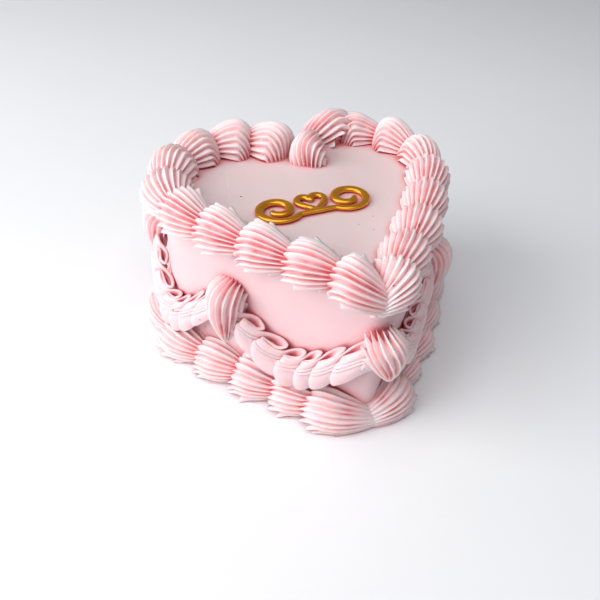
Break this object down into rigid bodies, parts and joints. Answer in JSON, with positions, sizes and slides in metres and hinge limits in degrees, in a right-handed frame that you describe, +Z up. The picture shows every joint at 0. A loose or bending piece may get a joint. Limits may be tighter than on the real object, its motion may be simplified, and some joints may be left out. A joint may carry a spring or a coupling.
{
  "type": "heart shaped cake",
  "caption": "Heart shaped butter cream cake with piped shell borders, ruffled side garlands between drop shells, and a small gilt ornament on top.",
  "frame": {"origin": "on the table, under the middle of the heart shaped body's flat underside", "axes": "+Z up, the heart's axis along Y with its point towards -Y and its two lobes towards +Y, +X to the right"},
  "size_m": [0.1808, 0.175, 0.1013],
  "materials": {
    "smooth_butter_cream": "soft pale pink icing smoothed with a scraper",
    "piped_butter_cream": "soft pink icing with the ridges of a star nozzle",
    "ruffled_butter_cream": "smooth thin pink ribbons of icing",
    "gilt_sugar": "poured ornament with glossy gold lustre"
  },
  "bodies": {
    "root": {"base_shell_left_01": "piped_butter_cream", "base_shell_left_02": "piped_butter_cream", "base_shell_left_03": "piped_butter_cream", "base_shell_left_04": "piped_butter_cream", "base_shell_left_05": "piped_butter_cream", "base_shell_left_06": "piped_butter_cream", "base_shell_left_07": "piped_butter_cream", "base_shell_left_08": "piped_butter_cream", "base_shell_left_09": "piped_butter_cream", "base_shell_right_01": "piped_butter_cream", "base_shell_right_02": "piped_butter_cream", "base_shell_right_03": "piped_butter_cream", "base_shell_right_04": "piped_butter_cream", "base_shell_right_05": "piped_butter_cream", "base_shell_right_06": "piped_butter_cream", "base_shell_right_07": "piped_butter_cream", "base_shell_right_08": "piped_butter_cream", "base_shell_right_09": "piped_butter_cream", "cake_body": "smooth_butter_cream", "drop_shell_left_1": "piped_butter_cream", "drop_shell_left_2": "piped_butter_cream", "drop_shell_notch": "piped_butter_cream", "drop_shell_point": "piped_butter_cream", "drop_shell_right_1": "piped_butter_cream", "drop_shell_right_2": "piped_butter_cream", "garland_left_1": "ruffled_butter_cream", "garland_left_2": "ruffled_butter_cream", "garland_left_3": "ruffled_butter_cream", "garland_right_1": "ruffled_butter_cream", "garland_right_2": "ruffled_butter_cream", "garland_right_3": "ruffled_butter_cream", "gilt_ornament": "gilt_sugar", "top_shell_left_01": "piped_butter_cream", "top_shell_left_02": "piped_butter_cream", "top_shell_left_03": "piped_butter_cream", "top_shell_left_04": "piped_butter_cream", "top_shell_left_05": "piped_butter_cream", "top_shell_left_06": "piped_butter_cream", "top_shell_left_07": "piped_butter_cream", "top_shell_left_08": "piped_butter_cream", "top_shell_left_09": "piped_butter_cream", "top_shell_left_10": "piped_butter_cream", "top_shell_notch": "piped_butter_cream", "top_shell_right_01": "piped_butter_cream", "top_shell_right_02": "piped_butter_cream", "top_shell_right_03": "piped_butter_cream", "top_shell_right_04": "piped_butter_cream", "top_shell_right_05": "piped_butter_cream", "top_shell_right_06": "piped_butter_cream", "top_shell_right_07": "piped_butter_cream", "top_shell_right_08": "piped_butter_cream", "top_shell_right_09": "piped_butter_cream"}
  },
  "joints": []
}
